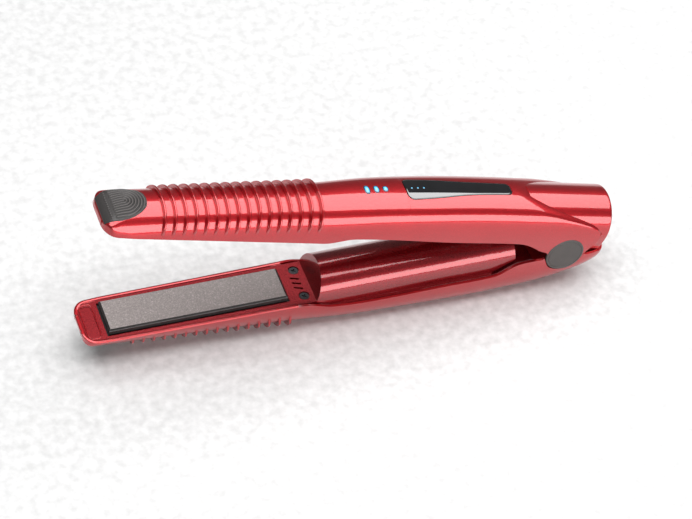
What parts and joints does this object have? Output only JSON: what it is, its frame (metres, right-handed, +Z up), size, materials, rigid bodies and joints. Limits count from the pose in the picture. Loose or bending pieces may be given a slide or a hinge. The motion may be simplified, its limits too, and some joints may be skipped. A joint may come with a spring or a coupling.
{
  "type": "flat iron",
  "caption": "Cordless flat iron: sprung hinged arms with ribbed barrels, floating heated plates, rubber tips, a leaf-shaped key and a charging inlet.",
  "frame": {"origin": "middle of the flat foot under the lower handle, where the iron rests on a table", "axes": "+X along the iron from its plates to its hinge, +Y across it, +Z up from the table"},
  "size_m": [0.2726, 0.035, 0.0937],
  "materials": {
    "red_shell": "metallic red lacquer under a clear gloss coat",
    "red_inner": "deep metallic red lacquer",
    "ceramic_plate": "aluminium with a fine speckled ceramic coating, polished bevel",
    "heater_ceramic": "sintered ceramic in foil",
    "spring_steel": "spring steel",
    "screw_steel": "black zinc",
    "soft_rubber": "dark grey soft rubber, moulded ridges",
    "grey_cap": "satin dark grey moulding",
    "bush_plastic": "acetal",
    "black_gloss": "piano black",
    "blue_lens": "clear moulding, lit blue",
    "led_body": "lamp package",
    "circuit_board": "green solder mask",
    "cell_wrap": "shrink wrap",
    "nickel": "nickel plated",
    "black_plastic": "heat resistant black plastic"
  },
  "bodies": {
    "lower_arm": {"battery_cell": "cell_wrap", "battery_cradle": "black_plastic", "battery_housing": "red_inner", "battery_tabs": "nickel", "charge_board": "circuit_board", "hinge_bushes": "bush_plastic", "hinge_spring": "spring_steel", "lower_bezel": "red_inner", "lower_leaf_spring": "spring_steel", "lower_plate_tray": "black_plastic", "lower_screws": "screw_steel", "lower_shell": "red_shell", "lower_tip_pad": "soft_rubber"},
    "lower_float": {"lower_plate": "ceramic_plate", "lower_heater": "heater_ceramic", "lower_heater_clamp": "spring_steel", "lower_thermal_fuse": "nickel", "lower_temperature_sensor": "nickel"},
    "upper_arm": {"charge_pin": "nickel", "charge_socket": "black_plastic", "control_board": "circuit_board", "hinge_cap_far": "grey_cap", "hinge_cap_near": "grey_cap", "hinge_pin": "spring_steel", "indicator_leds": "led_body", "indicator_lens": "blue_lens", "key_switch": "black_plastic", "tail_cap": "red_shell", "upper_bezel": "red_inner", "upper_inner_cover": "red_inner", "upper_leaf_spring": "spring_steel", "upper_plate_tray": "black_plastic", "upper_screws": "screw_steel", "upper_shell": "red_shell", "upper_tip_pad": "soft_rubber"},
    "upper_float": {"upper_plate": "ceramic_plate", "upper_heater": "heater_ceramic", "upper_heater_clamp": "spring_steel", "upper_thermal_fuse": "nickel", "upper_temperature_sensor": "nickel"},
    "key": {"control_key": "black_gloss", "key_lamps": "blue_lens"}
  },
  "joints": [
    {"name": "arm_hinge", "type": "hinge", "parent": "lower_arm", "child": "upper_arm", "pos_m": [0.0646, 0, 0.02468], "axis": [0, 1, 0], "range_deg": [-15.7, 0], "stiffness_Nm_per_rad": 0.6, "springref_deg": 34.38, "deforming": ["hinge_spring"]},
    {"name": "lower_plate_float", "type": "slide", "parent": "lower_arm", "child": "lower_float", "axis": [0.0166, 0, -0.9999], "range_m": [0, 0.0008], "stiffness_N_per_m": 4000, "springref_m": -0.0005, "deforming": ["lower_leaf_spring"]},
    {"name": "upper_plate_float", "type": "slide", "parent": "upper_arm", "child": "upper_float", "axis": [0.2556, 0, 0.9668], "range_m": [0, 0.0008], "stiffness_N_per_m": 4000, "springref_m": -0.0005, "deforming": ["upper_leaf_spring"]},
    {"name": "key_press", "type": "slide", "parent": "upper_arm", "child": "key", "axis": [-0.2556, 0, -0.9668], "range_m": [0, 0.0005], "stiffness_N_per_m": 3000, "springref_m": -0.0003}
  ]
}
